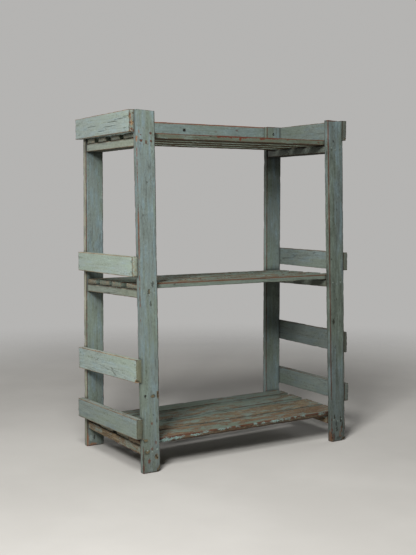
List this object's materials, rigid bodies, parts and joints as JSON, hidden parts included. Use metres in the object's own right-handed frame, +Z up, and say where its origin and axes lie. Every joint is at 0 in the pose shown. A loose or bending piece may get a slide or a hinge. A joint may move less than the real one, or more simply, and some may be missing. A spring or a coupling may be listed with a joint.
{
  "type": "slatted shelving rack",
  "caption": "Old painted wooden rack with flat posts, slatted shelves, side rails and a low rail at the back.",
  "frame": {"origin": "middle of the bounding box at floor level", "axes": "+Z up, -Y towards the open front, +X to the right as seen from the front"},
  "size_m": [0.6583, 0.3424, 0.8511],
  "materials": {
    "painted_post": "matt, chipped blue-green paint over old brown wood",
    "painted_rail": "matt, chipped pale blue-green paint over old brown wood",
    "worn_slat": "matt, paint worn through to grey-brown wood",
    "rusted_nail": "rusted dull brown"
  },
  "bodies": {
    "root": {"front_left_post": "painted_post", "front_right_post": "painted_post", "back_left_post": "painted_post", "back_right_post": "painted_post", "left_bottom_rail": "painted_rail", "left_lower_rail": "painted_rail", "left_middle_rail": "painted_rail", "left_top_rail": "painted_rail", "right_bottom_rail": "painted_rail", "right_lower_rail": "painted_rail", "right_middle_rail": "painted_rail", "right_top_rail": "painted_rail", "back_rail": "painted_rail", "bottom_left_bearer": "worn_slat", "bottom_right_bearer": "worn_slat", "middle_left_bearer": "worn_slat", "middle_right_bearer": "worn_slat", "top_left_bearer": "worn_slat", "top_right_bearer": "worn_slat", "bottom_slat_1": "worn_slat", "bottom_slat_2": "worn_slat", "bottom_slat_3": "worn_slat", "bottom_slat_4": "worn_slat", "middle_slat_1": "worn_slat", "middle_slat_2": "worn_slat", "middle_slat_3": "worn_slat", "middle_slat_4": "worn_slat", "top_slat_1": "worn_slat", "top_slat_2": "worn_slat", "top_slat_3": "worn_slat", "top_slat_4": "worn_slat", "post_nails": "rusted_nail", "rail_nails": "rusted_nail", "slat_nails": "rusted_nail", "back_rail_nails": "rusted_nail"}
  },
  "joints": []
}
